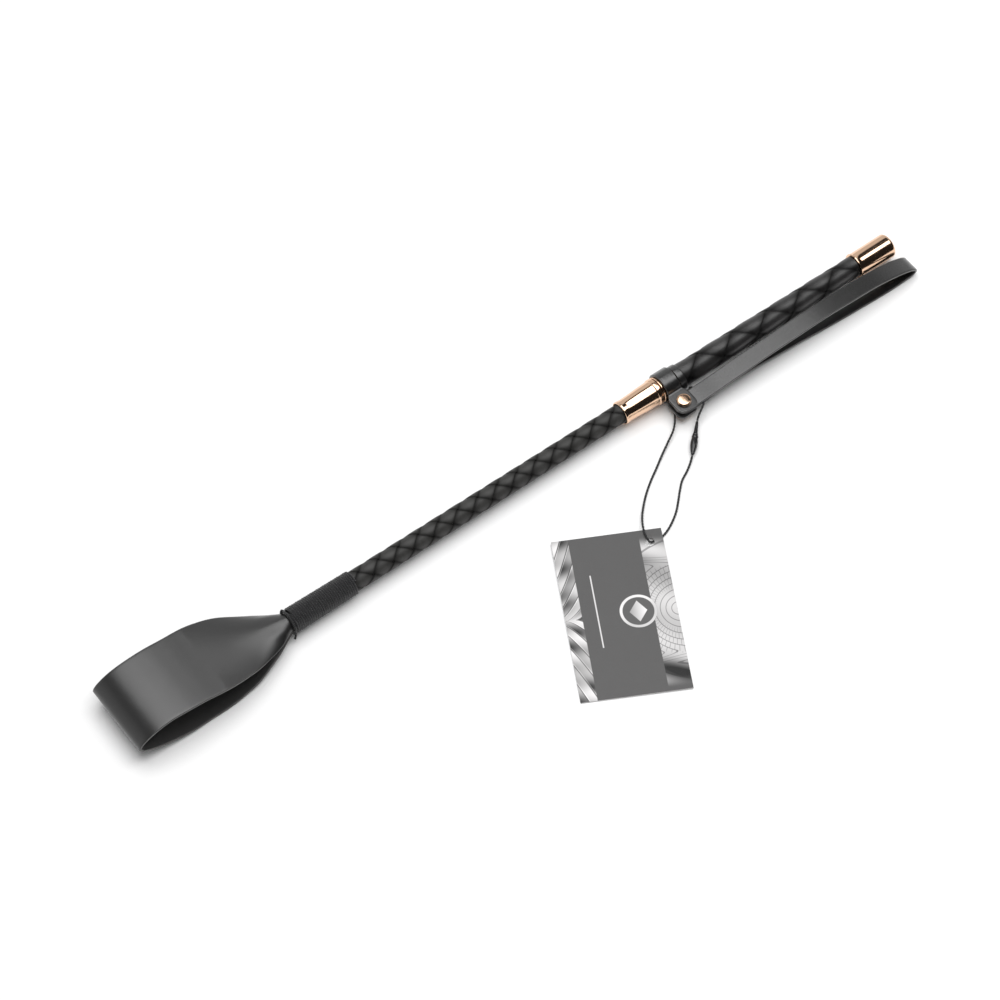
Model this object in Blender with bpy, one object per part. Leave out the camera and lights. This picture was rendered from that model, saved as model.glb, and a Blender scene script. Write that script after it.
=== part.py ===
"""A short leather riding crop, modelled piece by piece.

The crop lies along X with its popper towards -X and its butt towards +X, resting on the plane z = 0.
The axis of shaft and handle is the line y = 0, z = AXIS_Z. Lengths are in metres.
"""
import math

import bmesh
import bpy
import numpy as np
from mathutils import Matrix, Vector

MM = 0.001

# ---- driving dimensions -------------------------------------------------------------------------
LENGTH = 468.3 * MM            # popper fold to butt
AXIS_Z = 8.1 * MM            # height of the crop's axis: the collar's radius, just clear of the table
MIDDLE = 236 * MM            # station of the frame's origin, counted from the popper's fold
GAP = 0.3 * MM               # clearance between neighbouring pieces

LEATHER = 1.4 * MM           # popper and collar leather
ROD_R = 3.2 * MM
SHAFT_START_R = 5.3 * MM     # outside of the shaft's plait where it leaves the whipping
SHAFT_END_R = 5.0 * MM       # and where it enters the ferrule
CORE_R = 4.6 * MM            # handle core
GRIP_START_R = 6.3 * MM      # outside of the grip's plait at the collar
GRIP_END_R = 5.7 * MM        # and at the end cap
BORE_R = CORE_R + 0.25 * MM  # everything that sits on the handle core

# stations along the crop, from the popper's fold
WHIPPING_START = 98.8 * MM
WHIPPING_END = 135.5 * MM
TAIL_END = 116.3 * MM        # the popper's tails end here, under the whipping
FERRULE_START = 296.3 * MM
CORE_START = 304.5 * MM
RING_START = 319.3 * MM
BAND_START = 329.3 * MM
GRIP_START = 333.5 * MM
GRIP_END = 445.4 * MM
CORE_END = 464.3 * MM

WHIPPING_R = 6.6 * MM
WHIPPING_END_R = 6.15 * MM
THREAD_R = 0.6 * MM

POPPER_DRIFT = 2.2 * MM      # the popper has taken a slight set towards +Y
TAIL_ARC_R = 4.2 * MM        # mid-radius of the tails round the rod
# Stations of the popper's strip, from the upper tail round the fold to the lower tail:
# (along the crop, height above the table, half width, half angle of its crosswise arc), mm and degrees.
POPPER_STATIONS = (
    (116.3, 12.3, 4.19, 86), (107, 12.3, 4.19, 86), (99.5, 12.3, 4.19, 85), (97, 12.5, 4.9, 68),
    (94, 12.8, 6.6, 55), (88, 13.3, 10.3, 41), (80, 14.0, 14.0, 24), (70, 15.2, 17.7, 10),
    (60, 16.7, 19.6, 4), (50, 18.2, 20.2, 0), (40, 19.7, 20.1, 0), (30, 20.8, 19.9, 0),
    (21, 20.9, 19.7, 0), (13, 19.5, 19.6, 0), (7.5, 17.2, 19.7, 0), (4.4, 14.9, 19.8, 0),
    (3.2, 12.6, 19.9, 0),
    (4.2, 10.5, 20.0, 0), (8, 8.3, 20.2, 0), (14, 6.1, 20.5, 0), (21, 4.1, 20.7, 0),
    (30, 2.2, 20.6, 0), (40, 1.1, 20.4, 0), (50, 0.8, 20.2, 0), (60, 0.8, 19.6, 4),
    (70, 1.0, 17.7, 10), (80, 1.6, 14.0, 24), (88, 2.4, 10.3, 41), (94, 3.2, 6.6, 55),
    (97, 3.7, 4.9, 68), (99.5, 3.9, 4.19, 85), (107, 3.9, 4.19, 86), (116.3, 3.9, 4.19, 86))

COLLAR_X = 324.6 * MM        # centre of collar and rivet
COLLAR_MID_R = 7.3 * MM
COLLAR_HALF_WIDTH = 4.1 * MM
TAB_HALF_WIDTH = 5.8 * MM
TAB_LIFT = 2.45 * MM         # from the axis up to the middle of the upper tab
TAB_FILLET_R = 2.2 * MM
TAB_REACH = 19.9 * MM        # how far the tabs reach towards -Y
RIVET_Y = -14.4 * MM
RIVET_HEAD_R = 3.65 * MM
RIVET_POST_R = 1.35 * MM
RIVET_HOLE_R = 1.7 * MM

STRAP_THICK = 1.3 * MM
STRAP_HALF_WIDTH = 4.8 * MM
# Route of the strap's middle line: (along the crop, across, height) in mm, upper run, tip, lower run.
STRAP_ROUTE = (
    (319.8, -14.4, 8.9), (324.6, -14.4, 8.9), (329.5, -14.4, 8.9), (334, -14.4, 9.2),
    (345, -14.3, 9.75), (361, -14.2, 10.9), (388, -14.1, 12.6), (411, -14.1, 13.5), (433, -14.1, 12.9),
    (447, -14.1, 11.9), (457, -14.2, 10.3), (464, -14.2, 8.4), (469.5, -14.2, 5.9), (471.3, -14.2, 3.9),
    (469.7, -14.2, 2.0), (464, -14.2, 1.0), (456, -14.2, 0.73), (440, -13.9, 0.73), (425, -13.4, 1.05),
    (411, -12.9, 1.7), (390, -12.3, 3.1), (370, -12.0, 4.4), (352, -12.3, 5.5), (342, -13.0, 5.85),
    (337.5, -13.6, 5.95), (334.8, -13.9, 6.05), (332.6, -14.1, 6.6), (331.0, -14.4, 7.12),
    (329.0, -14.4, 7.35), (324.6, -14.4, 7.35), (319.8, -14.4, 7.35))

CORD_R = 0.5 * MM
# The tag cord, from the seal's upper end round the strap's lower run, to the card and back to the seal:
# (along the crop, across, height) in mm.
CORD_ROUTE = (
    (326.2, -23.6, 3.45), (328.2, -22.2, 4.9), (330.6, -21.1, 6.5), (332.9, -19.8, 7.55),
    (334.2, -17.8, 7.74), (334.7, -14.5, 7.72), (334.7, -11.0, 7.74), (334.6, -9.4, 7.72),
    (334.4, -8.1, 7.25), (334.1, -7.4, 6.1), (333.6, -7.6, 4.9), (332.6, -8.5, 4.1), (330.8, -9.5, 3.9),
    (328.0, -9.7, 3.85), (324.4, -9.7, 3.8), (321.0, -11.3, 3.8), (319.3, -14.6, 3.7),
    (314.1, -20.3, 3.0), (307.4, -24.3, 2.0), (301.0, -27.9, 1.2), (294.1, -32.2, 0.7),
    (287.1, -36.5, 0.6), (280.1, -41.6, 0.65), (275.1, -46.1, 1.2), (270.8, -50.6, 2.3),
    (267.6, -55.0, 3.05), (265.4, -59.4, 3.15), (264.7, -62.0, 3.05), (264.55, -62.9, 2.8),
    (264.6, -63.5, 2.35), (264.85, -63.95, 1.85), (265.4, -64.2, 1.3), (266.1, -64.35, 0.95),
    (267.4, -64.6, 0.7), (269.6, -64.9, 0.6), (272.8, -64.6, 0.6), (277.4, -63.0, 0.6),
    (282.7, -60.1, 0.6), (286.9, -57.1, 0.6), (291.0, -53.3, 0.6), (295.0, -49.4, 0.6),
    (299.7, -45.3, 0.6), (305.1, -42.4, 0.75), (309.0, -39.9, 1.1), (312.0, -37.6, 1.75))
CORD_SPACING = 3.0 * MM

SEAL_TOP = Vector((325.9, -23.9, 3.35)) * MM
SEAL_BOTTOM = Vector((312.4, -37.2, 1.95)) * MM

CARD_WIDTH = 53.8 * MM
CARD_HEIGHT = 88.8 * MM
CARD_THICK = 0.5 * MM
CARD_CORNER = Vector((274.0, -61.1, 1.8)) * MM      # underside of the corner next to the hole
CARD_TURN = -28.2                                    # degrees, its upper edge against the crop
CARD_TILT = 0.93                                     # degrees, it rests on the cord at that corner
CARD_HOLE = (6.75 * MM, 7.0 * MM)                     # from its right and its upper edge
CARD_HOLE_R = 2.4 * MM

ROUND = 40                   # sides of a round piece

for leftover in list(bpy.data.objects):
    bpy.data.objects.remove(leftover, do_unlink=True)


# ---- helpers ------------------------------------------------------------------------------------
def material(name, colour, roughness, metallic=0.0):
    finish = bpy.data.materials.new(name)
    finish.use_nodes = True
    shader = finish.node_tree.nodes["Principled BSDF"]
    shader.inputs["Base Color"].default_value = (*colour, 1.0)
    shader.inputs["Roughness"].default_value = roughness
    shader.inputs["Metallic"].default_value = metallic
    return finish


LEATHER_BLACK = material("black_leather", (0.022, 0.022, 0.023), 0.45)
PLAIT_BLACK = material("plaited_leather", (0.018, 0.018, 0.018), 0.6)
THREAD_BLACK = material("black_thread", (0.015, 0.015, 0.015), 0.75)
GOLD = material("rose_gold_plate", (0.86, 0.60, 0.42), 0.12, 1.0)
GLASS_FIBRE = material("glass_fibre", (0.55, 0.52, 0.42), 0.5)
CORE_PLASTIC = material("core_plastic", (0.05, 0.05, 0.05), 0.6)
CARD_GREY = material("printed_card", (0.13, 0.13, 0.13), 0.35)
SEAL_PLASTIC = material("seal_plastic", (0.02, 0.02, 0.02), 0.35)

frame = bpy.data.objects.new("crop_frame", None)
frame.location = (-MIDDLE, 0.0, 0.0)
bpy.context.collection.objects.link(frame)


def add_object(name, bm, finish, sharp_angle=40):
    """Link the bmesh as a named, smooth-shaded object under the crop's frame."""
    bmesh.ops.recalc_face_normals(bm, faces=bm.faces)
    mesh = bpy.data.meshes.new(name)
    bm.to_mesh(mesh)
    bm.free()
    mesh.shade_smooth()
    mesh.set_sharp_from_angle(angle=math.radians(sharp_angle))
    mesh.materials.append(finish)
    piece = bpy.data.objects.new(name, mesh)
    piece.parent = frame
    bpy.context.collection.objects.link(piece)
    return piece


def turned(name, profile, finish, closed=True, sides=ROUND):
    """Turn (station, radius) points about the crop's axis; a closed profile makes a tube or a ring."""
    bm = bmesh.new()
    points = [bm.verts.new((x, 0.0, r)) for x, r in profile]
    edges = [bm.edges.new(pair) for pair in zip(points, points[1:])]
    if closed:
        edges.append(bm.edges.new((points[-1], points[0])))
    bmesh.ops.spin(bm, geom=points + edges, cent=(0, 0, 0), axis=(1, 0, 0), angle=math.tau, steps=sides,
                   use_merge=True, use_duplicate=False)
    bmesh.ops.remove_doubles(bm, verts=bm.verts, dist=1e-6)
    piece = add_object(name, bm, finish)
    piece.location.z = AXIS_Z
    return piece


def smooth_segments(rows, measured):
    """Points of a smooth curve through the given rows, 25 of them for each stretch between two rows."""
    rows = np.array(rows, dtype=float)
    padded = np.vstack([2 * rows[0] - rows[1], rows, 2 * rows[-1] - rows[-2]])
    stretches = []
    for a, b, c, d in zip(padded, padded[1:], padded[2:], padded[3:]):
        knots = [0.0]
        for p, q in ((a, b), (b, c), (c, d)):
            knots.append(knots[-1] + math.sqrt(np.linalg.norm((q - p)[:measured])) + 1e-9)
        t0, t1, t2, t3 = knots
        t = np.linspace(t1, t2, 25)[:, None]
        ab = a + (b - a) * (t - t0) / (t1 - t0)
        bc = b + (c - b) * (t - t1) / (t2 - t1)
        cd = c + (d - c) * (t - t2) / (t3 - t2)
        abc = ab + (bc - ab) * (t - t0) / (t2 - t0)
        bcd = bc + (cd - bc) * (t - t1) / (t3 - t1)
        stretches.append(abc + (bcd - abc) * (t - t1) / (t2 - t1))
    return stretches


def read_evenly(points, count, measured):
    """Read count evenly spaced rows off a fine one; only the first columns count as distance."""
    steps = np.linalg.norm(np.diff(points[:, :measured], axis=0), axis=1)
    along = np.concatenate([[0.0], np.cumsum(steps)])
    wanted = np.linspace(0.0, along[-1], count)
    return np.column_stack([np.interp(wanted, along, column) for column in points.T])


def smooth_rows(rows, count, measured=2):
    """Evenly spaced rows from a smooth curve; widths and angles in later columns don't stretch it."""
    stretches = smooth_segments(rows, measured)
    fine = np.vstack([stretch[:-1] for stretch in stretches] + [stretches[-1][-1:]])
    return read_evenly(fine, count, measured)


def smooth_path(rows, spacing):
    """A point at each given row, and more between them where they lie further apart than the spacing."""
    points = []
    for stretch in smooth_segments(rows, 3):
        length = np.linalg.norm(stretch[-1] - stretch[0])
        points.extend(read_evenly(stretch, math.ceil(length / spacing) + 1, 3)[:-1])
    return points + [np.array(rows[-1], dtype=float)]


def strip(name, outer, inner, finish):
    """Close two equal grids of points, a strip's two faces, into one solid."""
    bm = bmesh.new()
    tops = [[bm.verts.new(p) for p in row] for row in outer]
    bottoms = [[bm.verts.new(p) for p in row] for row in inner]
    rows, columns = len(tops), len(tops[0])
    for i in range(rows - 1):
        for j in range(columns - 1):
            bm.faces.new((tops[i][j], tops[i + 1][j], tops[i + 1][j + 1], tops[i][j + 1]))
            bm.faces.new((bottoms[i][j], bottoms[i][j + 1], bottoms[i + 1][j + 1], bottoms[i + 1][j]))
        for j in (0, columns - 1):
            bm.faces.new((tops[i][j], bottoms[i][j], bottoms[i + 1][j], tops[i + 1][j]))
    for i in (0, rows - 1):
        for j in range(columns - 1):
            bm.faces.new((tops[i][j], tops[i][j + 1], bottoms[i][j + 1], bottoms[i][j]))
    return add_object(name, bm, finish)


def normals_along(points):
    """Unit normals of a path, turned 90 degrees to its left in the plane of its two columns."""
    tangents = np.gradient(points, axis=0)
    tangents /= np.linalg.norm(tangents, axis=1)[:, None]
    return np.column_stack([-tangents[:, 1], tangents[:, 0]])


def smoothstep(value):
    value = min(max(value, 0.0), 1.0)
    return value * value * (3 - 2 * value)


def cut_round_hole(piece, centre, radius, depth):
    """Cut an upright round hole right through a piece."""
    bm = bmesh.new()
    bmesh.ops.create_cone(bm, cap_ends=True, segments=24, radius1=radius, radius2=radius, depth=depth)
    bmesh.ops.translate(bm, verts=bm.verts, vec=centre)
    cutter = add_object(piece.name + "_hole", bm, piece.data.materials[0])
    cutter.hide_render = True
    cutter.display_type = "WIRE"
    cut = piece.modifiers.new("hole", "BOOLEAN")
    cut.operation = "DIFFERENCE"
    cut.object = cutter


# ---- shaft and handle ---------------------------------------------------------------------------
def make_core_rod():
    start = WHIPPING_START + 1.5 * MM
    end = RING_START + 0.4 * MM
    chamfer = 0.5 * MM
    turned("core_rod", ((start, 0.0), (start, ROD_R - chamfer), (start + chamfer, ROD_R), (end, ROD_R),
                        (end, 0.0)), GLASS_FIBRE, closed=False)


def make_handle_core():
    socket_r = ROD_R + 0.25 * MM
    socket_end = RING_START + 0.7 * MM
    chamfer = 0.6 * MM
    turned("handle_core", ((socket_end, 0.0), (socket_end, socket_r), (CORE_START, socket_r),
                           (CORE_START, CORE_R), (CORE_END - chamfer, CORE_R),
                           (CORE_END, CORE_R - chamfer), (CORE_END, 0.0)), CORE_PLASTIC, closed=False)


def make_shaft_braid():
    inner = ROD_R + 0.25 * MM
    start = TAIL_END + GAP
    end = CORE_START - 0.4 * MM
    turned("shaft_braid", ((start, inner), (start, SHAFT_START_R - 0.2 * MM), (WHIPPING_END, SHAFT_START_R),
                           (end, SHAFT_END_R), (end, inner)), PLAIT_BLACK)


def make_grip_braid():
    round_off = 0.5 * MM
    turned("grip_braid", ((GRIP_START, BORE_R), (GRIP_START, GRIP_START_R - round_off),
                          (GRIP_START + round_off, GRIP_START_R), (GRIP_END - round_off, GRIP_END_R),
                          (GRIP_END, GRIP_END_R - round_off), (GRIP_END, BORE_R)), PLAIT_BLACK)


def make_ferrule():
    mouth = FERRULE_START
    end = RING_START - GAP
    outside = ((mouth, 5.75 * MM), (mouth + 0.25 * MM, 6.15 * MM), (mouth + 0.8 * MM, 6.25 * MM),
               (mouth + 1.4 * MM, 6.0 * MM), (mouth + 2.4 * MM, 5.8 * MM), (end - 2.6 * MM, 6.85 * MM),
               (end - 1.9 * MM, 7.05 * MM), (end - 0.4 * MM, 7.05 * MM), (end, 6.7 * MM))
    inside = ((end, BORE_R), (CORE_START - 0.1 * MM, BORE_R), (CORE_START - 0.1 * MM, 5.4 * MM),
              (mouth, 5.4 * MM))
    turned("ferrule", outside + inside, GOLD, sides=48)


def make_neck_ring():
    end = BAND_START - GAP
    turned("neck_ring", ((RING_START, BORE_R), (RING_START, 6.1 * MM), (RING_START + 0.2 * MM, 6.3 * MM),
                         (end, 6.3 * MM), (end, BORE_R)), GOLD)


def make_grip_end_band():
    end = GRIP_START - GAP
    edge = 0.4 * MM
    radius = 7.0 * MM
    turned("grip_end_band", ((BAND_START, BORE_R), (BAND_START, radius - edge), (BAND_START + edge, radius),
                             (end - edge, radius), (end, radius - edge), (end, BORE_R)), LEATHER_BLACK)


def make_end_cap():
    start = GRIP_END + GAP
    outside = [(start, 6.7 * MM), (start + 0.8 * MM, 6.6 * MM), (start + 2.6 * MM, 6.45 * MM),
               (start + 12 * MM, 6.5 * MM)]
    edge = 1.6 * MM
    side_r = 6.6 * MM
    for step in range(6):
        turn = math.radians(90 * step / 5)
        outside.append((LENGTH - edge + edge * math.sin(turn), side_r - edge + edge * math.cos(turn)))
    inside = [(LENGTH, 0.0), (CORE_END + GAP, 0.0), (CORE_END + GAP, BORE_R), (start, BORE_R)]
    profile = outside + inside
    ring = profile[-2:] + profile[:-3]
    turned("end_cap", [profile[-3]] + ring, GOLD, closed=False, sides=48)


# ---- whipping -----------------------------------------------------------------------------------
def make_whipping():
    inner = SHAFT_START_R + 0.2 * MM
    edge = 0.45 * MM
    start, end = WHIPPING_START, WHIPPING_END
    turned("whipping", ((start, inner), (start, WHIPPING_R - edge), (start + edge, WHIPPING_R),
                        (end - edge, WHIPPING_END_R), (end, WHIPPING_END_R - edge), (end, inner)),
           THREAD_BLACK)


def make_whipping_end_turn():
    """The raised last turn of the thread, with its knot on the far side and its cut end on the near one."""
    ring_r = 6.25 * MM
    station = WHIPPING_START - THREAD_R - 0.1 * MM
    profile = []
    for step in range(8):
        turn = math.tau * step / 8
        profile.append((station + THREAD_R * math.cos(turn), ring_r + THREAD_R * math.sin(turn)))
    piece = turned("whipping_end_turn", profile, THREAD_BLACK)
    knot_angle = math.radians(38)
    tail_angle = math.radians(-150)
    lumps = bmesh.new()
    knot_r = ring_r + 0.3 * MM
    knot = Vector((station - 0.5 * MM, knot_r * math.cos(knot_angle), knot_r * math.sin(knot_angle)))
    bmesh.ops.create_icosphere(lumps, subdivisions=2, radius=0.95 * MM, matrix=Matrix.Translation(knot))
    knot_piece = add_object("knot_lump", lumps, THREAD_BLACK)
    tail = bmesh.new()
    bmesh.ops.create_cone(tail, cap_ends=True, segments=8, radius1=0.5 * MM, radius2=0.5 * MM,
                          depth=3.2 * MM)
    out = Vector((-0.35, math.cos(tail_angle), math.sin(tail_angle))).normalized()
    place = Vector((station, ring_r * math.cos(tail_angle), ring_r * math.sin(tail_angle)))
    bmesh.ops.rotate(tail, verts=tail.verts, cent=(0, 0, 0),
                     matrix=Vector((0, 0, 1)).rotation_difference(out).to_matrix())
    bmesh.ops.translate(tail, verts=tail.verts, vec=place + out * 1.3 * MM)
    tail_piece = add_object("tail_lump", tail, THREAD_BLACK)
    for lump in (knot_piece, tail_piece):
        lump.location.z = AXIS_Z
        lump.hide_render = True
        lump.display_type = "WIRE"
        join = piece.modifiers.new("join", "BOOLEAN")
        join.operation = "UNION"
        join.object = lump


# ---- popper -------------------------------------------------------------------------------------
def make_popper():
    """One strip, folded at the tip; near the whipping it curls crosswise into two half sleeves."""
    stations = smooth_rows(np.array(POPPER_STATIONS) * (MM, MM, MM, 1.0), 84)
    normals = normals_along(stations[:, :2])
    across = np.linspace(-1.0, 1.0, 9)
    outer, inner = [], []
    for (x, z, half, degrees), (nx, nz) in zip(stations, normals):
        arc = math.radians(max(degrees, 0.5))
        radius = half / math.sin(arc)
        drift = POPPER_DRIFT * smoothstep((WHIPPING_START - x) / (38 * MM))
        outward = Vector((-nx, 0.0, -nz))
        centre = Vector((x, drift, z)) - outward * radius
        row_out, row_in = [], []
        for f in across:
            direction = outward * math.cos(arc * f) + Vector((0, 1, 0)) * math.sin(arc * f)
            row_out.append(centre + direction * (radius + LEATHER / 2))
            row_in.append(centre + direction * (radius - LEATHER / 2))
        outer.append(row_out)
        inner.append(row_in)
    strip("popper", outer, inner, LEATHER_BLACK)


# ---- collar, rivet and wrist strap --------------------------------------------------------------
def collar_path():
    """The collar's middle line about the crop's axis, from the upper tab's end round to the lower one's."""
    fillet_z = TAB_LIFT + TAB_FILLET_R
    reach = COLLAR_MID_R + TAB_FILLET_R
    fillet_y = -math.sqrt(reach ** 2 - fillet_z ** 2)
    lean = math.asin(fillet_z / reach)
    upper = [(-TAB_REACH, TAB_LIFT), (-TAB_REACH + 0.9 * MM, TAB_LIFT), (-TAB_REACH + 2.6 * MM, TAB_LIFT),
             (RIVET_Y, TAB_LIFT), (fillet_y - 2.2 * MM, TAB_LIFT)]
    for step in range(5):
        turn = -math.pi / 2 + (math.pi / 2 - lean) * step / 4
        upper.append((fillet_y + TAB_FILLET_R * math.cos(turn), fillet_z + TAB_FILLET_R * math.sin(turn)))
    ring = []
    steps = 26
    for step in range(1, steps):
        turn = (math.pi - lean) * (1 - 2 * step / steps)
        ring.append((COLLAR_MID_R * math.cos(turn), COLLAR_MID_R * math.sin(turn)))
    lower = [(y, -z) for y, z in reversed(upper)]
    return np.array(upper + ring + lower)


def make_strap_collar():
    path = collar_path()
    normals = normals_along(path)
    end_round = 4.0 * MM
    outer, inner = [], []
    for (y, z), (ny, nz) in zip(path, normals):
        widening = smoothstep((-y - 6.5 * MM) / (4.0 * MM))
        half = COLLAR_HALF_WIDTH + (TAB_HALF_WIDTH - COLLAR_HALF_WIDTH) * widening
        past = max(0.0, -y - (TAB_REACH - end_round)) / end_round
        half -= 2.6 * MM * (1 - math.sqrt(1 - 0.98 * past ** 2))
        row_out, row_in = [], []
        for f in (-1.0, 0.0, 1.0):
            x = COLLAR_X + half * f
            row_out.append(Vector((x, y + ny * LEATHER / 2, z + nz * LEATHER / 2)))
            row_in.append(Vector((x, y - ny * LEATHER / 2, z - nz * LEATHER / 2)))
        outer.append(row_out)
        inner.append(row_in)
    collar = strip("strap_collar", outer, inner, LEATHER_BLACK)
    collar.location.z = AXIS_Z
    cut_round_hole(collar, (COLLAR_X, RIVET_Y, AXIS_Z), RIVET_HOLE_R, 20 * MM)


def make_wrist_strap():
    route = smooth_rows(np.array(STRAP_ROUTE) * MM, 110, measured=3)
    normals = normals_along(route[:, (0, 2)])
    outer, inner = [], []
    ends = (route[0], route[-1])
    for i, ((x, y, z), (nx, nz)) in enumerate(zip(route, normals)):
        end = ends[0] if i < len(route) // 2 else ends[1]
        from_end = abs(x - end[0])
        past = max(0.0, 1 - from_end / STRAP_HALF_WIDTH)
        if abs(z - end[2]) > 1.0 * MM:
            past = 0.0
        half = STRAP_HALF_WIDTH * math.sqrt(1 - 0.96 * past ** 2)
        lift = Vector((nx, 0.0, nz)) * (STRAP_THICK / 2)
        row_out, row_in = [], []
        for f in (-1.0, 0.0, 1.0):
            middle = Vector((x, y + half * f, z))
            row_out.append(middle + lift)
            row_in.append(middle - lift)
        outer.append(row_out)
        inner.append(row_in)
    strap = strip("wrist_strap", outer, inner, LEATHER_BLACK)
    cut_round_hole(strap, (COLLAR_X, RIVET_Y, AXIS_Z), RIVET_HOLE_R, 4.5 * MM)


def upright_turned(name, profile, centre, finish):
    """Turn (radius, height) points about the vertical through centre; the ends lie on that line."""
    bm = bmesh.new()
    points = [bm.verts.new((r, 0.0, h)) for r, h in profile]
    edges = [bm.edges.new(pair) for pair in zip(points, points[1:])]
    bmesh.ops.spin(bm, geom=points + edges, cent=(0, 0, 0), axis=(0, 0, 1), angle=math.tau, steps=28,
                   use_merge=True, use_duplicate=False)
    bmesh.ops.remove_doubles(bm, verts=bm.verts, dist=1e-6)
    piece = add_object(name, bm, finish)
    piece.location = centre
    return piece


def dome(foot, height, steps=5):
    """Points of a shallow dome of the rivet head's radius, from its rim to its top."""
    rim = 0.35 * MM
    points = []
    for step in range(steps + 1):
        turn = math.radians(90 * step / steps)
        points.append((RIVET_HEAD_R * math.cos(turn), foot + rim + (height - rim) * math.sin(turn)))
    points[-1] = (0.0, foot + height)
    return [(RIVET_HEAD_R - 0.15 * MM, foot)] + points


def make_rivet():
    head_foot = TAB_LIFT + LEATHER / 2 + GAP
    head_height = 1.5 * MM
    pocket = head_foot + 0.8 * MM
    socket_r = RIVET_POST_R + 0.2 * MM
    centre = (COLLAR_X, RIVET_Y, AXIS_Z)
    cap = [(0.0, pocket), (socket_r, pocket), (socket_r, head_foot)] + dome(head_foot, head_height)
    upright_turned("rivet_cap", cap, centre, GOLD)
    below = [(r, -h) for r, h in reversed(dome(head_foot, head_height))]
    post_top = pocket - 0.2 * MM
    post = below + [(RIVET_POST_R, -head_foot), (RIVET_POST_R, post_top), (0.0, post_top)]
    upright_turned("rivet_post", post, centre, GOLD)


# ---- tag ----------------------------------------------------------------------------------------
def make_tag_cord():
    route = smooth_path(np.array(CORD_ROUTE) * MM, CORD_SPACING)
    curve = bpy.data.curves.new("tag_cord", "CURVE")
    curve.dimensions = "3D"
    curve.bevel_depth = CORD_R
    curve.bevel_resolution = 2
    curve.use_fill_caps = True
    curve.resolution_u = 1
    curve.render_resolution_u = 0
    spline = curve.splines.new("POLY")
    spline.points.add(len(route) - 1)
    for point, place in zip(spline.points, route):
        point.co = (*place, 1.0)
    curve.materials.append(THREAD_BLACK)
    cord = bpy.data.objects.new("tag_cord", curve)
    cord.parent = frame
    bpy.context.collection.objects.link(cord)


def make_seal():
    """The plug's pin sits in the socket's bore; each half ends where its end of the cord comes out."""
    axis = SEAL_BOTTOM - SEAL_TOP
    length = axis.length
    shoulder = 8.0 * MM
    plug = ((0.0, 0.0), (0.6 * MM, 0.0), (0.8 * MM, 1.2 * MM), (1.05 * MM, 5.0 * MM),
            (1.3 * MM, shoulder), (0.55 * MM, shoulder), (0.55 * MM, 12.4 * MM), (0.0, 12.4 * MM))
    bore = 0.85 * MM
    mouth = shoulder + GAP
    socket = ((0.0, 13.2 * MM), (bore, 13.2 * MM), (bore, mouth), (1.55 * MM, mouth),
              (1.8 * MM, 11.5 * MM), (1.75 * MM, 14.0 * MM), (1.2 * MM, length - 1.8 * MM),
              (0.7 * MM, length), (0.0, length))
    turn = Vector((0, 0, 1)).rotation_difference(axis.normalized())
    for name, profile in (("tag_seal_plug", plug), ("tag_seal_socket", socket)):
        half = upright_turned(name, profile, SEAL_TOP, SEAL_PLASTIC)
        half.rotation_mode = "QUATERNION"
        half.rotation_quaternion = turn


def make_tag_card():
    """Flat card; its corner by the hole is propped up by the cord that runs underneath."""
    bm = bmesh.new()
    bmesh.ops.create_cube(bm, size=1.0)
    bmesh.ops.scale(bm, verts=bm.verts, vec=(CARD_WIDTH, CARD_HEIGHT, CARD_THICK))
    bmesh.ops.translate(bm, verts=bm.verts, vec=(-CARD_WIDTH / 2, -CARD_HEIGHT / 2, CARD_THICK / 2))
    card = add_object("tag_card", bm, CARD_GREY)
    diagonal = Vector((CARD_WIDTH, CARD_HEIGHT, 0.0)).normalized()
    tilt_axis = Vector((diagonal.y, -diagonal.x, 0.0))
    tilt = Matrix.Rotation(math.radians(CARD_TILT), 4, tilt_axis)
    turn = Matrix.Rotation(math.radians(CARD_TURN), 4, "Z")
    placing = Matrix.Translation(CARD_CORNER) @ turn @ tilt
    card.matrix_local = placing
    hole = placing @ Vector((-CARD_HOLE[0], -CARD_HOLE[1], 0.0))
    cut_round_hole(card, hole, CARD_HOLE_R, 6 * MM)


make_core_rod()
make_handle_core()
make_shaft_braid()
make_grip_braid()
make_ferrule()
make_neck_ring()
make_grip_end_band()
make_end_cap()
make_whipping()
make_whipping_end_turn()
make_popper()
make_strap_collar()
make_wrist_strap()
make_rivet()
make_tag_cord()
make_seal()
make_tag_card()
bpy.context.view_layer.update()
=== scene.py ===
"""Looks of the riding crop: its leather, plait, thread, plated metal, cord and tag, on the CAD frame.

Lengths are in metres, in the row's frame: the crop's axis is the line y = 0, z = AXIS_Z, with the
popper towards -X. A station is a distance from the popper's fold, so x = station - MIDDLE.
"""
import math

import bmesh
import bpy
import numpy as np
from mathutils import Matrix, Vector


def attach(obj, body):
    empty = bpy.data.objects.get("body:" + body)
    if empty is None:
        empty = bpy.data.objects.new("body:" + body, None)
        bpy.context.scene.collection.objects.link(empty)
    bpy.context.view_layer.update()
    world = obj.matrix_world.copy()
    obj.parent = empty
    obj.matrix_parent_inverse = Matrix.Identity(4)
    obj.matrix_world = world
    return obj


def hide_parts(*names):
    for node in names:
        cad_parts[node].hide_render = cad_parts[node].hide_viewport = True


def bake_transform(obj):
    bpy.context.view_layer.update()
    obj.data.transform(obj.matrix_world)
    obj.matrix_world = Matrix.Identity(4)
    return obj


MM = 0.001

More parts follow.
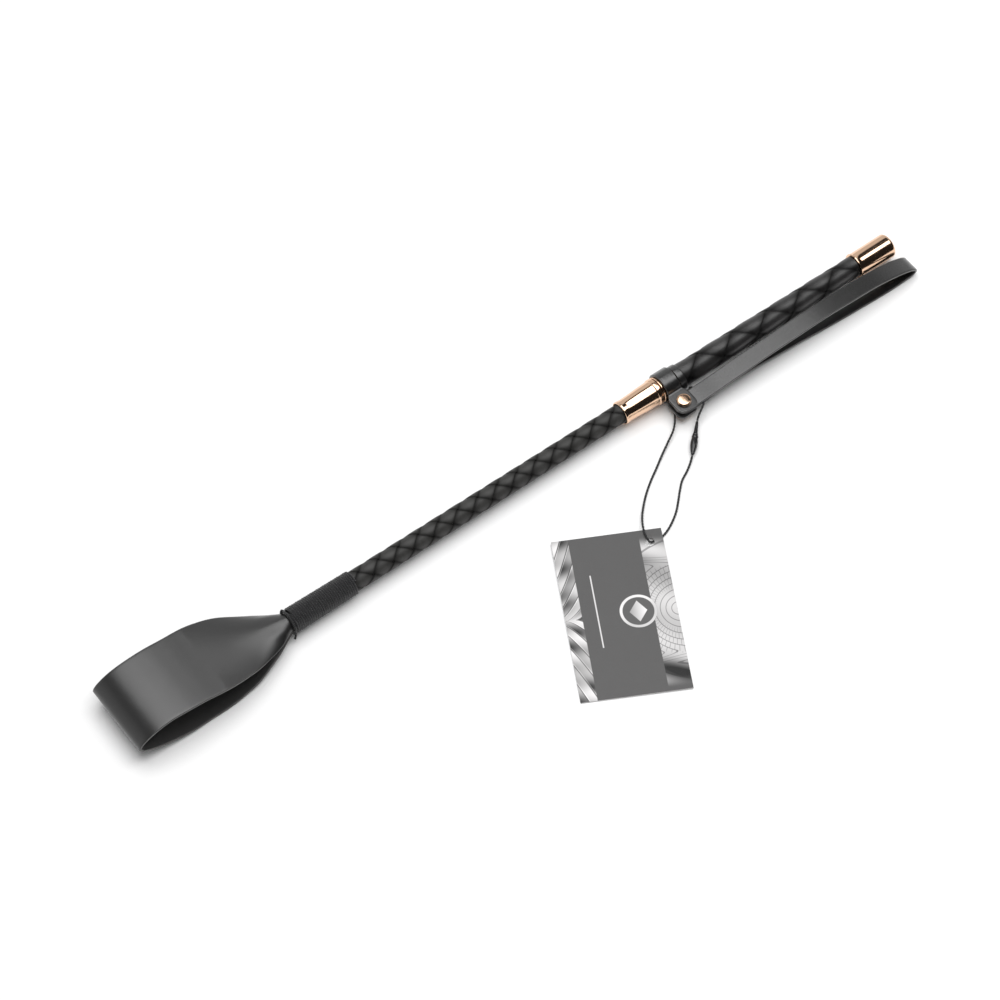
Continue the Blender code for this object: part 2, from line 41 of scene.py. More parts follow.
# ---- the frame's dimensions, repeated from the CAD source ----------------------------------------
AXIS_Z = 8.1 * MM
MIDDLE = 236 * MM
LENGTH = 468.3 * MM
LEATHER = 1.4 * MM
WHIPPING_START, WHIPPING_END = 98.8 * MM, 135.5 * MM
WHIPPING_R, WHIPPING_END_R = 6.6 * MM, 6.15 * MM
THREAD_R = 0.6 * MM
TAIL_END = 116.3 * MM
SHAFT_START_R, SHAFT_END_R = 5.3 * MM, 5.0 * MM
FERRULE_START = 296.3 * MM
CORE_START = 304.5 * MM
RING_START = 319.3 * MM
BAND_START = 329.3 * MM
GRIP_START, GRIP_END = 333.5 * MM, 445.4 * MM
GRIP_START_R, GRIP_END_R = 6.3 * MM, 5.7 * MM
CORE_END = 464.3 * MM
BORE_R = 4.85 * MM
GAP = 0.3 * MM

POPPER_DRIFT = 2.2 * MM
POPPER_STATIONS = (
    (116.3, 12.3, 4.19, 86), (107, 12.3, 4.19, 86), (99.5, 12.3, 4.19, 85), (97, 12.5, 4.9, 68),
    (94, 12.8, 6.6, 55), (88, 13.3, 10.3, 41), (80, 14.0, 14.0, 24), (70, 15.2, 17.7, 10),
    (60, 16.7, 19.6, 4), (50, 18.2, 20.2, 0), (40, 19.7, 20.1, 0), (30, 20.8, 19.9, 0),
    (21, 20.9, 19.7, 0), (13, 19.5, 19.6, 0), (7.5, 17.2, 19.7, 0), (4.4, 14.9, 19.8, 0),
    (3.2, 12.6, 19.9, 0),
    (4.2, 10.5, 20.0, 0), (8, 8.3, 20.2, 0), (14, 6.1, 20.5, 0), (21, 4.1, 20.7, 0),
    (30, 2.2, 20.6, 0), (40, 1.1, 20.4, 0), (50, 0.8, 20.2, 0), (60, 0.8, 19.6, 4),
    (70, 1.0, 17.7, 10), (80, 1.6, 14.0, 24), (88, 2.4, 10.3, 41), (94, 3.2, 6.6, 55),
    (97, 3.7, 4.9, 68), (99.5, 3.9, 4.19, 85), (107, 3.9, 4.19, 86), (116.3, 3.9, 4.19, 86))

COLLAR_X = 324.6 * MM
COLLAR_MID_R = 7.3 * MM
COLLAR_HALF_WIDTH, TAB_HALF_WIDTH = 4.1 * MM, 5.8 * MM
TAB_LIFT, TAB_FILLET_R, TAB_REACH = 2.45 * MM, 2.2 * MM, 19.9 * MM
RIVET_Y = -14.4 * MM
RIVET_HEAD_R, RIVET_POST_R, RIVET_HOLE_R = 3.65 * MM, 1.35 * MM, 1.7 * MM

STRAP_THICK, STRAP_HALF_WIDTH = 1.3 * MM, 4.8 * MM
STRAP_ROUTE = (
    (319.8, -14.4, 8.9), (324.6, -14.4, 8.9), (329.5, -14.4, 8.9), (334, -14.4, 9.2),
    (345, -14.3, 9.75), (361, -14.2, 10.9), (388, -14.1, 12.6), (411, -14.1, 13.5), (433, -14.1, 12.9),
    (447, -14.1, 11.9), (457, -14.2, 10.3), (464, -14.2, 8.4), (469.5, -14.2, 5.9), (471.3, -14.2, 3.9),
    (469.7, -14.2, 2.0), (464, -14.2, 1.0), (456, -14.2, 0.73), (440, -13.9, 0.73), (425, -13.4, 1.05),
    (411, -12.9, 1.7), (390, -12.3, 3.1), (370, -12.0, 4.4), (352, -12.3, 5.5), (342, -13.0, 5.85),
    (337.5, -13.6, 5.95), (334.8, -13.9, 6.05), (332.6, -14.1, 6.6), (331.0, -14.4, 7.12),
    (329.0, -14.4, 7.35), (324.6, -14.4, 7.35), (319.8, -14.4, 7.35))

CORD_R = 0.5 * MM
CORD_ROUTE = (
    (326.2, -23.6, 3.45), (328.2, -22.2, 4.9), (330.6, -21.1, 6.5), (332.9, -19.8, 7.55),
    (334.2, -17.8, 7.74), (334.7, -14.5, 7.72), (334.7, -11.0, 7.74), (334.6, -9.4, 7.72),
    (334.4, -8.1, 7.25), (334.1, -7.4, 6.1), (333.6, -7.6, 4.9), (332.6, -8.5, 4.1), (330.8, -9.5, 3.9),
    (328.0, -9.7, 3.85), (324.4, -9.7, 3.8), (321.0, -11.3, 3.8), (319.3, -14.6, 3.7),
    (314.1, -20.3, 3.0), (307.4, -24.3, 2.0), (301.0, -27.9, 1.2), (294.1, -32.2, 0.7),
    (287.1, -36.5, 0.6), (280.1, -41.6, 0.65), (275.1, -46.1, 1.2), (270.8, -50.6, 2.3),
    (267.6, -55.0, 3.05), (265.4, -59.4, 3.15), (264.7, -62.0, 3.05), (264.55, -62.9, 2.8),
    (264.6, -63.5, 2.35), (264.85, -63.95, 1.85), (265.4, -64.2, 1.3), (266.1, -64.35, 0.95),
    (267.4, -64.6, 0.7), (269.6, -64.9, 0.6), (272.8, -64.6, 0.6), (277.4, -63.0, 0.6),
    (282.7, -60.1, 0.6), (286.9, -57.1, 0.6), (291.0, -53.3, 0.6), (295.0, -49.4, 0.6),
    (299.7, -45.3, 0.6), (305.1, -42.4, 0.75), (309.0, -39.9, 1.1), (312.0, -37.6, 1.75))
SEAL_TOP = Vector((325.9, -23.9, 3.35)) * MM
SEAL_BOTTOM = Vector((312.4, -37.2, 1.95)) * MM

CARD_WIDTH, CARD_HEIGHT, CARD_THICK = 53.8 * MM, 88.8 * MM, 0.5 * MM
CARD_CORNER = Vector((274.0, -61.1, 1.8)) * MM
CARD_TURN, CARD_TILT = -28.2, 0.93
CARD_HOLE, CARD_HOLE_R = (6.75 * MM, 7.0 * MM), 2.4 * MM

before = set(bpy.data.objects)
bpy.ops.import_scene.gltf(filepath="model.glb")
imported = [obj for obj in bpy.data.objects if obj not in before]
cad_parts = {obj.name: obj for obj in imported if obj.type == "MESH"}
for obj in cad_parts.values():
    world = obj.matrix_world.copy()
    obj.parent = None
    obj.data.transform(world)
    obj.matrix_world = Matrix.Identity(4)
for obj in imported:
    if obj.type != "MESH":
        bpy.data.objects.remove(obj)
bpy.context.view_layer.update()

# ---- camera, light and floor --------------------------------------------------------------------
CAMERA_AZIMUTH, CAMERA_ELEVATION = -36.8, 57.5
CAMERA_DISTANCE = 1.699
CAMERA_TARGET = Vector((-13.8, -0.8, 0.0)) * MM
LENS = 126.0


def make_camera():
    azimuth, elevation = math.radians(CAMERA_AZIMUTH), math.radians(CAMERA_ELEVATION)
    back = Vector((math.sin(azimuth) * math.cos(elevation), -math.cos(azimuth) * math.cos(elevation),
                   math.sin(elevation)))
    camera_data = bpy.data.cameras.new("camera")
    camera_data.lens = LENS
    camera_data.sensor_width = 36.0
    camera = bpy.data.objects.new("camera", camera_data)
    camera.location = CAMERA_TARGET + back * CAMERA_DISTANCE
    camera.rotation_mode = "QUATERNION"
    camera.rotation_quaternion = back.to_track_quat("Z", "Y")
    bpy.context.collection.objects.link(camera)
    bpy.context.scene.camera = camera


# ---- node arithmetic ----------------------------------------------------------------------------
class Field:
    """A node's output socket that can be added, multiplied and so on like a number."""

    def __init__(self, tree, socket):
        self.tree = tree
        self.socket = socket

    def math(self, operation, *others, clamp=False):
        node = self.tree.nodes.new("ShaderNodeMath")
        node.operation = operation
        node.use_clamp = clamp
        for slot, value in zip(node.inputs, (self, *others)):
            connect(self.tree, slot, value)
        return Field(self.tree, node.outputs[0])

    def __add__(self, other):
        return self.math("ADD", other)

    def __sub__(self, other):
        return self.math("SUBTRACT", other)

    def __rsub__(self, other):
        return (self * -1.0) + other

    def __mul__(self, other):
        return self.math("MULTIPLY", other)

    def __truediv__(self, other):
        return self.math("DIVIDE", other)

    __radd__ = __add__
    __rmul__ = __mul__

    def above(self, edge, soft):
        """0 below the edge, 1 above it, with a smooth step of the given width between them."""
        node = self.tree.nodes.new("ShaderNodeMapRange")
        node.interpolation_type = "SMOOTHSTEP"
        connect(self.tree, node.inputs["Value"], self)
        node.inputs["From Min"].default_value = edge - soft / 2
        node.inputs["From Max"].default_value = edge + soft / 2
        return Field(self.tree, node.outputs["Result"])


def connect(tree, slot, value):
    if isinstance(value, Field):
        tree.links.new(value.socket, slot)
    else:
        slot.default_value = value


class Finish:
    """A material under construction: its Principled shader and the fields that feed it."""

    def __init__(self, name, roughness=0.5, **constants):
        self.material = bpy.data.materials.new(name)
        self.material.use_nodes = True
        self.tree = self.material.node_tree
        self.shader = self.tree.nodes["Principled BSDF"]
        self.shader.inputs["Roughness"].default_value = roughness
        for slot, value in constants.items():
            self.shader.inputs[slot.replace("_", " ")].default_value = value

    def attribute(self, name):
        node = self.tree.nodes.new("ShaderNodeAttribute")
        node.attribute_name = name
        return Field(self.tree, node.outputs["Fac"])

    def position(self, scale=(1.0, 1.0, 1.0)):
        place = self.tree.nodes.new("ShaderNodeTexCoord")
        mapping = self.tree.nodes.new("ShaderNodeMapping")
        mapping.inputs["Scale"].default_value = scale
        self.tree.links.new(place.outputs["Object"], mapping.inputs["Vector"])
        return mapping.outputs["Vector"]

    def noise(self, size, detail=2.0, stretch=(1.0, 1.0, 1.0)):
        """Noise from about -1 to 1 with features of the given size in metres."""
        node = self.tree.nodes.new("ShaderNodeTexNoise")
        node.inputs["Scale"].default_value = 1.0 / size
        node.inputs["Detail"].default_value = detail
        self.tree.links.new(self.position(stretch), node.inputs["Vector"])
        return Field(self.tree, node.outputs["Fac"]) * 4.0 - 2.0

    def cells(self, size, feature="F1"):
        node = self.tree.nodes.new("ShaderNodeTexVoronoi")
        node.feature = feature
        node.inputs["Scale"].default_value = 1.0 / size
        self.tree.links.new(self.position(), node.inputs["Vector"])
        return Field(self.tree, node.outputs["Distance"])

    def colour(self, amount, dark, light):
        """Base colour that runs from dark to light as amount runs from 0 to 1."""
        node = self.tree.nodes.new("ShaderNodeMix")
        node.data_type = "RGBA"
        connect(self.tree, node.inputs["Factor"], amount)
        slots = [slot for slot in node.inputs if slot.type == "RGBA"]
        connect(self.tree, slots[0], dark if isinstance(dark, Field) else (*dark, 1.0))
        connect(self.tree, slots[1], light if isinstance(light, Field) else (*light, 1.0))
        result = Field(self.tree, [slot for slot in node.outputs if slot.type == "RGBA"][0])
        self.tree.links.new(result.socket, self.shader.inputs["Base Color"])
        return result

    def roughness(self, value):
        self.tree.links.new(value.socket, self.shader.inputs["Roughness"])

    def specular(self, value):
        self.tree.links.new(value.socket, self.shader.inputs["Specular IOR Level"])

    def bump(self, height, strength=1.0):
        """Height is in metres."""
        node = self.tree.nodes.new("ShaderNodeBump")
        node.inputs["Strength"].default_value = strength
        node.inputs["Distance"].default_value = 1.0
        self.tree.links.new(height.socket, node.inputs["Height"])
        self.tree.links.new(node.outputs["Normal"], self.shader.inputs["Normal"])


# ---- floor, panels and sky ----------------------------------------------------------------------
SOFTBOX_RADIANCE = 3.3
SOFTBOX_HEIGHT = 2.1


def make_floor():
    bm = bmesh.new()
    bmesh.ops.create_grid(bm, x_segments=1, y_segments=1, size=3.0)
    mesh = bpy.data.meshes.new("floor")
    bm.to_mesh(mesh)
    bm.free()
    floor = bpy.data.objects.new("floor", mesh)
    bpy.context.collection.objects.link(floor)
    paper = Finish("floor_paper", roughness=0.9, Specular_IOR_Level=0.1)
    paper.colour(paper.noise(0.4) * 0.5 + 0.5, (0.935, 0.935, 0.935), (0.945, 0.945, 0.945))
    mesh.materials.append(paper.material)


def make_softbox(name, place, size):
    """A level panel that shines down; its size is along X and along Y."""
    data = bpy.data.lights.new(name, "AREA")
    data.shape = "RECTANGLE"
    data.size, data.size_y = size
    data.energy = SOFTBOX_RADIANCE * math.pi * size[0] * size[1]
    light = bpy.data.objects.new(name, data)
    light.location = place
    bpy.context.collection.objects.link(light)


def make_world():
    """A pale room for the floor; reflections see a white sweep behind the crop, a dark room in front."""
    world = bpy.data.worlds.new("studio")
    bpy.context.scene.world = world
    world.use_nodes = True
    tree = world.node_tree
    background = tree.nodes["Background"]
    place = tree.nodes.new("ShaderNodeTexCoord")
    split = tree.nodes.new("ShaderNodeSeparateXYZ")
    tree.links.new(place.outputs["Generated"], split.inputs[0])
    across, up = Field(tree, split.outputs["Y"]), Field(tree, split.outputs["Z"])
    sweep = across.above(0.1, 0.25) * (1.0 - up.above(0.66, 0.1)) * 0.66 + 0.015
    paths = tree.nodes.new("ShaderNodeLightPath")
    glossy = Field(tree, paths.outputs["Is Glossy Ray"])
    room = across * 0.12 + 0.36
    strength = glossy * sweep + (1.0 - glossy) * room
    tree.links.new(strength.socket, background.inputs["Strength"])
    background.inputs["Color"].default_value = (1.0, 1.0, 1.0, 1.0)


# ---- finishes -----------------------------------------------------------------------------------
def make_leather(name, roughness, specular, coat, edge_colour):
    """Finished black leather: fine grain on its face, rough fibres on its back, a burnished cut edge."""
    hide = Finish(name, Specular_IOR_Level=specular, Coat_Weight=coat, Coat_Roughness=0.3)
    edge = hide.attribute("edge")
    back = hide.attribute("back")
    blotch = hide.noise(14 * MM, 1.0)
    grain = hide.cells(0.42 * MM, "DISTANCE_TO_EDGE").math("MINIMUM", 0.35) * 2.8
    fibre = hide.noise(0.25 * MM, 4.0)
    burnished = edge * (hide.noise(0.3 * MM, 3.0) * 0.25 + 0.75)
    tone = hide.colour(burnished, (0.0085, 0.0083, 0.0083), edge_colour)
    hide.colour(back, tone, (0.011, 0.0105, 0.010))
    rough = blotch * 0.012 + fibre * 0.02 + edge * 0.16 + back * 0.3 + roughness
    hide.roughness(rough.math("MINIMUM", 0.95))
    face = 1.0 - back
    hide.bump(face * grain * (0.006 * MM)
              + fibre * (back * (0.05 * MM) + edge * (0.03 * MM) + 0.002 * MM))
    return hide.material


def make_plait_leather(name, roughness, specular, tone):
    """Cut lace: soft grain, a painted highlight on its raised middle and painted shade along its sunk
    edges.
    """
    lace = Finish(name)
    lighter_tone = lace.attribute("raised")
    sunk = lace.attribute("sunk")
    mottling = lace.noise(2.2 * MM, 3.0)
    fibre = lace.noise(0.22 * MM, 3.0)
    # Painted highlight on the raised middle of a lace on top, painted shade along the lace edges where
    # they sink.
    painted_highlight_and_shade = (lighter_tone * 0.6 + mottling * 0.1 + 0.2) * (1.0 - sunk * 1.4)
    lace.colour(painted_highlight_and_shade.math("MAXIMUM", 0.0, clamp=True), tuple(channel * 0.25 for channel in tone),
                tuple(channel * 1.9 for channel in tone))
    lace.roughness(mottling * 0.04 + fibre * 0.03 + sunk * 0.25 + roughness)
    lace.specular((lighter_tone * 1.5 + mottling * 0.1 + 0.28) * (1.0 - sunk * 0.6) * specular)
    lace.bump(lace.cells(0.5 * MM) * (0.02 * MM) + mottling * (0.02 * MM) + fibre * (0.008 * MM))
    return lace.material


def make_thread(name, ply_length, tone=(0.011, 0.011, 0.012)):
    """Twisted thread: plies that run slantwise round it and a short fuzz."""
    thread = Finish(name, roughness=0.62, Specular_IOR_Level=0.45, Sheen_Weight=0.25, Sheen_Roughness=0.4)
    twist = thread.attribute("along") / ply_length + thread.attribute("around")
    ply = (twist * math.tau).math("SINE")
    fuzz = thread.noise(0.12 * MM, 3.0)
    # The colour follows the plies' height: painted shade in the grooves between plies, a painted
    # highlight on their crowns; the fuzz varies it at random.
    thread.colour(ply * 0.3 + fuzz * 0.2 + 0.4, tuple(0.6 * channel for channel in tone),
                  tuple(2.2 * channel for channel in tone))
    thread.bump(ply * (0.05 * MM) + fuzz * (0.02 * MM))
    return thread.material


def make_gold(name):
    """Polished rose-gold plate with faint turning marks round the axis and a few rubbed patches."""
    gold = Finish(name, Metallic=1.0)
    lighter_tone = gold.noise(5 * MM, 3.0)
    marks = gold.noise(0.16 * MM, 1.0, stretch=(1.0, 0.02, 0.02))
    gold.colour(lighter_tone * 0.3 + 0.5, (0.84, 0.56, 0.385), (0.88, 0.61, 0.43))
    gold.roughness(lighter_tone * 0.02 + marks * 0.012 + 0.12)
    gold.bump(marks * (0.0006 * MM) + lighter_tone * (0.002 * MM))
    return gold.material


def make_plastic(name, tone, roughness):
    plastic = Finish(name, Specular_IOR_Level=0.5)
    speckle = plastic.noise(0.3 * MM, 2.0)
    plastic.colour(speckle * 0.3 + 0.5, tone, tuple(1.5 * channel for channel in tone))
    plastic.roughness(speckle * 0.05 + roughness)
    plastic.bump(speckle * (0.006 * MM))
    return plastic.material


def make_glass_fibre():
    rod = Finish("glass_fibre_rod", Specular_IOR_Level=0.5)
    strands = rod.noise(0.3 * MM, 3.0, stretch=(0.04, 1.0, 1.0))
    rod.colour(strands * 0.4 + 0.5, (0.40, 0.37, 0.27), (0.62, 0.59, 0.47))
    rod.roughness(strands * 0.08 + 0.42)
    rod.bump(strands * (0.02 * MM))
    return rod.material


PANEL_TONE, PRINT_WHITE, PAPER_TONE = 0.088, 0.72, 0.62
LEFT_BAND_END, RIGHT_BAND_START = 0.152, 0.785          # fractions of the card's width
RULE_AT, RULE_HALF_LENGTH = (0.29, 0.535), 0.225        # fractions of its width and height
EMBLEM_AT, EMBLEM_R, EMBLEM_RING_R = (0.655, 0.505), 9.0, 7.6       # radii in mm


def make_card_print():
    """A grey panel between two silver bands of flowing lines, a rule, and a ringed diamond."""
    card = Finish("card_print", Specular_IOR_Level=0.3)
    u, v = card.attribute("u"), card.attribute("v")
    away = (v - 0.5).math("ABSOLUTE")

    def line(phase, width, soft=0.05):
        """1 on thin lines at whole numbers of the phase."""
        off = (phase.math("FRACT") - 0.5).math("ABSOLUTE")
        return off.above(0.5 - width, soft)

    # left band: chevrons that bend into near-upright lines away from the middle
    flow = u * 11.0 + away.math("POWER", 0.62) * -9.0
    shade = ((flow.math("FLOOR") * 2.399 + v * 17.0).math("SINE") * 0.30
             + (flow.math("FLOOR") * 1.3 + v * 43.0).math("SINE") * 0.16)
    left_tone = shade + flow.math("FRACT") * 0.22 + 0.42
    left_tone = left_tone * (1.0 - line(flow, 0.05) * 0.75) + line(flow - 0.09, 0.035) * 0.35
    # right band: ripples round a point on the right edge, crossed by short bricks half way out
    across, along = (1.0 - u) * 0.62, (v - 0.49) * 1.0
    reach = (across * across + along * along).math("SQRT")
    ripple = reach * 26.0 + across * 6.0
    spoke = along.math("ARCTAN2", across) * 9.0 + ripple.math("FLOOR") * 0.5
    bricks = reach.above(0.12, 0.03) * (1.0 - reach.above(0.27, 0.03)) * line(spoke, 0.06) * 0.5
    gleam = (along * 21.0 + u * 7.0).math("SINE") * 0.22 + (along * 9.0 + 0.6).math("COSINE") * 0.18
    far = away.above(0.3, 0.08)
    ripple_lines = line(ripple * (1.0 - far * 0.55), 0.07)
    right_tone = (gleam * (far * 1.2 + 0.6) + 0.66) * (1.0 - ripple_lines * 0.55) * (1.0 - bricks)
    # where each band is
    left = 1.0 - u.above(LEFT_BAND_END, 0.006)
    right = u.above(RIGHT_BAND_START, 0.006) * (1.0 - v.above(0.915, 0.09)) * v.above(0.055, 0.07)
    silver = left * left_tone + right * right_tone
    # the rule and the ringed diamond
    rule = (1.0 - (u - RULE_AT[0]).math("ABSOLUTE").above(0.006, 0.003)) * (
        1.0 - (v - RULE_AT[1]).math("ABSOLUTE").above(RULE_HALF_LENGTH, 0.004))
    dx, dy = (u - EMBLEM_AT[0]) * (CARD_WIDTH / MM), (v - EMBLEM_AT[1]) * (CARD_HEIGHT / MM)
    radius = (dx * dx + dy * dy).math("SQRT")
    disc = 1.0 - radius.above(EMBLEM_R, 0.3)
    ring = disc * radius.above(EMBLEM_RING_R, 0.3)
    span = dx.math("ABSOLUTE") * 1.15 + dy.math("ABSOLUTE") * 0.85
    diamond = (1.0 - span.above(4.9, 0.3)) * (dx * 0.09 + 0.7)
    ring_tone = (dy * 0.25 - dx * 0.15).math("SINE") * 0.12 + PRINT_WHITE
    print_tone = (silver * 0.8).math("MAXIMUM", 0.0, clamp=True)
    band = (left + right).math("MINIMUM", 1.0)
    tone = print_tone + (1.0 - band) * PANEL_TONE
    tone = tone * (1.0 - rule) + rule * PRINT_WHITE
    tone = tone * (1.0 - disc) + disc * ((1.0 - ring) * (diamond * 0.75 + 0.10) + ring * ring_tone)
    # the bare paper shows at the cut edge and on the back
    edge = card.attribute("edge")
    tone = tone * (1.0 - edge) + edge * PAPER_TONE
    card.colour((tone + card.noise(0.4 * MM) * 0.004).math("MAXIMUM", 0.0, clamp=True),
                (0.0, 0.0, 0.0), (1.0, 0.985, 0.985))
    card.roughness(edge * 0.4 + card.noise(3 * MM) * 0.03 + 0.36)
    card.bump(card.noise(0.2 * MM, 3.0) * (0.004 * MM))
    return card.material


# ---- mesh helpers -------------------------------------------------------------------------------
def smooth_segments(rows, measured):
    """Points of a smooth curve through the given rows, 25 of them for each stretch between two rows."""
    rows = np.array(rows, dtype=float)
    padded = np.vstack([2 * rows[0] - rows[1], rows, 2 * rows[-1] - rows[-2]])
    stretches = []
    for a, b, c, d in zip(padded, padded[1:], padded[2:], padded[3:]):
        knots = [0.0]
        for p, q in ((a, b), (b, c), (c, d)):
            knots.append(knots[-1] + math.sqrt(np.linalg.norm((q - p)[:measured])) + 1e-9)
        t0, t1, t2, t3 = knots
        t = np.linspace(t1, t2, 25)[:, None]
        ab = a + (b - a) * (t - t0) / (t1 - t0)
        bc = b + (c - b) * (t - t1) / (t2 - t1)
        cd = c + (d - c) * (t - t2) / (t3 - t2)
        abc = ab + (bc - ab) * (t - t0) / (t2 - t0)
        bcd = bc + (cd - bc) * (t - t1) / (t3 - t1)
        stretches.append(abc + (bcd - abc) * (t - t1) / (t2 - t1))
    return stretches


def distance_along(points):
    steps = np.linalg.norm(np.diff(points, axis=0), axis=1)
    return np.concatenate([[0.0], np.cumsum(steps)])


def smooth_rows(rows, count, measured):
    """Evenly spaced rows from a smooth curve; only the first columns count as distance."""
    stretches = smooth_segments(rows, measured)
    fine = np.vstack([stretch[:-1] for stretch in stretches] + [stretches[-1][-1:]])
    along = distance_along(fine[:, :measured])
    wanted = np.linspace(0.0, along[-1], count)
    return np.column_stack([np.interp(wanted, along, column) for column in fine.T])


def unit(vectors):
    return vectors / np.linalg.norm(vectors, axis=-1, keepdims=True)


def left_normals(points):
    """Unit normals of a plane path, turned 90 degrees to its left."""
    tangents = unit(np.gradient(points, axis=0))
    return np.column_stack([-tangents[:, 1], tangents[:, 0]])


def smoothstep(value):
    value = np.clip(value, 0.0, 1.0)
    return value * value * (3 - 2 * value)


def skin(name, grids, finish, body, fields=None, closed=True, capped=True, sharp=40, loop=False):
    """Skin grids of closed sections into one object that rides on a body.

    Each grid is an array of rows x points x 3; fields holds one value for each point, by name.
    """
    verts, faces, values = [], [], {key: [] for key in fields or {}}
    start = 0
    for number, grid in enumerate(grids):
        rows, points = grid.shape[:2]
        index = start + np.arange(rows * points).reshape(rows, points)
        below, above = (index, np.roll(index, -1, axis=0)) if loop else (index[:-1], index[1:])
        if closed:
            quads = np.stack([below, above, np.roll(above, -1, axis=1), np.roll(below, -1, axis=1)],
                             axis=-1)
        else:
            quads = np.stack([below[:, :-1], above[:, :-1], above[:, 1:], below[:, 1:]], axis=-1)
        faces.extend(quads.reshape(-1, 4).tolist())
        if capped and not loop:
            faces.append(index[0].tolist())
            faces.append(index[-1][::-1].tolist())
        verts.append(grid.reshape(-1, 3))
        for key in values:
            values[key].append(np.broadcast_to(fields[key][number], (rows, points)).reshape(-1))
        start += rows * points
    mesh = bpy.data.meshes.new(name)
    mesh.from_pydata(np.vstack(verts).tolist(), [], faces)
    for key, lists in values.items():
        attribute = mesh.attributes.new(key, "FLOAT", "POINT")
        attribute.data.foreach_set("value", np.concatenate(lists).astype(np.float32))
    bm = bmesh.new()
    bm.from_mesh(mesh)
    bmesh.ops.remove_doubles(bm, verts=bm.verts, dist=1e-7)
    bmesh.ops.recalc_face_normals(bm, faces=bm.faces)
    bm.to_mesh(mesh)
    bm.free()
    mesh.shade_smooth()
    mesh.set_sharp_from_angle(angle=math.radians(sharp))
    mesh.materials.append(finish)
    piece = bpy.data.objects.new(name, mesh)
    bpy.context.collection.objects.link(piece)
    if body:
        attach(piece, body)
    return piece


def turned(name, profile, finish, body, sides=128):
    """Turn a closed outline of (station, radius) points about the crop's axis."""
    profile = np.array(profile)
    turn = np.linspace(0.0, math.tau, sides, endpoint=False)[:, None]
    grid = np.stack([np.broadcast_to(profile[:, 0] - MIDDLE, (sides, len(profile))),
                     np.sin(turn) * profile[:, 1], np.cos(turn) * profile[:, 1] + AXIS_Z], axis=-1)
    return skin(name, [grid], finish, body, loop=True, sharp=28)


def rounded(profile, radius, steps=4):
    """Round the corners of an outline: each corner is replaced by a short arc."""
    points = [np.array(p) for p in profile]
    result = []
    for before, corner, after in zip(points[-1:] + points[:-1], points, points[1:] + points[:1]):
        to_before, to_after = before - corner, after - corner
        room = min(radius, 0.42 * np.linalg.norm(to_before), 0.42 * np.linalg.norm(to_after))
        a, b = corner + unit(to_before) * room, corner + unit(to_after) * room
        for step in range(steps + 1):
            t = step / steps
            result.append(a * (1 - t) ** 2 + corner * 2 * t * (1 - t) + b * t * t)
    return result


def band_outline(columns, thickness, edge_r, steps=4):
    """Outline of a strip's section: (fraction of the half width, extra width, height, edge, back)."""
    half = thickness / 2
    rows = [(f, 0.0, half, 0.0, 0.0) for f in np.linspace(-1.0, 1.0, columns)]
    turns = np.radians(np.linspace(90, 0, steps + 1))[1:]
    corner = [(1.0, edge_r * math.cos(t), half - edge_r + edge_r * math.sin(t), 1.0, 0.0) for t in turns]
    rows += corner + [(f, d, -h, e, 0.0) for f, d, h, e, _ in reversed(corner)]
    rows += [(f, 0.0, -half, 0.0, 1.0) for f in np.linspace(1.0, -1.0, columns)]
    rows += [(-f, -d, -h, e, 0.0) for f, d, h, e, _ in corner]
    rows += [(-f, -d, h, e, 0.0) for f, d, h, e, _ in reversed(corner)]
    return np.array(rows).T


def tube_grid(path, normals, binormals, section):
    """Sweep (normal, binormal) section points along a path; the section may have one set for each row."""
    return (path[:, None, :] + section[..., 0:1] * normals[:, None, :]
            + section[..., 1:2] * binormals[:, None, :])


def circle(radius, sides):
    turn = np.linspace(0.0, math.tau, sides, endpoint=False)
    return np.column_stack([np.cos(turn), np.sin(turn)]) * radius


def carried_frames(path):
    """Normals and binormals that don't spin as they are carried along a space curve."""
    tangents = unit(np.gradient(path, axis=0))
    normals = [unit(np.cross(tangents[0], (0.3, 0.2, 1.0)))]
    for tangent in tangents[1:]:
        normals.append(unit(normals[-1] - tangent * np.dot(normals[-1], tangent)))
    normals = np.array(normals)
    return normals, np.cross(tangents, normals)


def cut_hole(piece, centre, radius):
    """Cut an upright round hole and keep the result as the piece's mesh."""
    bm = bmesh.new()
    bmesh.ops.create_cone(bm, cap_ends=True, segments=40, radius1=radius, radius2=radius, depth=40 * MM)
    mesh = bpy.data.meshes.new("cutter")
    bm.to_mesh(mesh)
    bm.free()
    cutter = bpy.data.objects.new("cutter", mesh)
    cutter.location = centre
    bpy.context.collection.objects.link(cutter)
    cut = piece.modifiers.new("hole", "BOOLEAN")
    cut.operation = "DIFFERENCE"
    cut.object = cutter
    bpy.context.view_layer.update()
    shape = bpy.data.meshes.new_from_object(piece.evaluated_get(bpy.context.evaluated_depsgraph_get()))
    piece.modifiers.remove(cut)
    piece.data = shape
    bpy.data.objects.remove(cutter, do_unlink=True)


